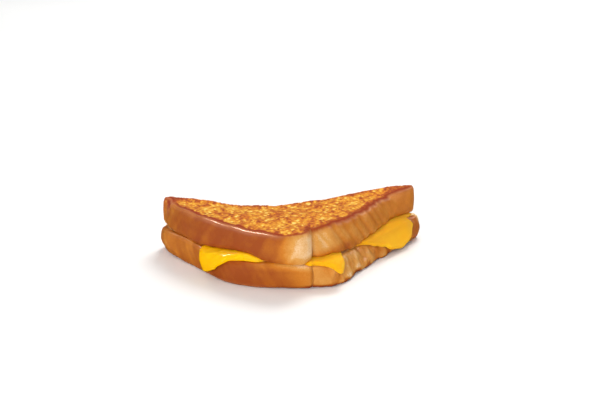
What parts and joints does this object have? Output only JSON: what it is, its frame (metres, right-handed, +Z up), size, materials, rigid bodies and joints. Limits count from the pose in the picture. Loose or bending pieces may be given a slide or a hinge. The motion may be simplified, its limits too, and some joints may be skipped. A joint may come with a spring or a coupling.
{
  "type": "grilled cheese sandwich half",
  "caption": "Half of a thick-sliced grilled cheese sandwich, cut corner to corner, with melted cheese running out between the toasted slices.",
  "frame": {"origin": "middle of the footprint, on the surface that the lower slice rests on", "axes": "+X along the knife cut, towards the side wall's end; +Y out of the knife cut; +Z up out of the upper toasted face"},
  "size_m": [0.1698, 0.0944, 0.0371],
  "materials": {
    "toasted_bread": "soft brown crust, crumbly golden toasted face and cream crumb on the cut, slightly greasy",
    "melted_cheese": "smooth melted orange-yellow cheese with a soft shine"
  },
  "bodies": {
    "root": {"lower_slice": "toasted_bread", "cheese": "melted_cheese", "upper_slice": "toasted_bread"}
  },
  "joints": []
}
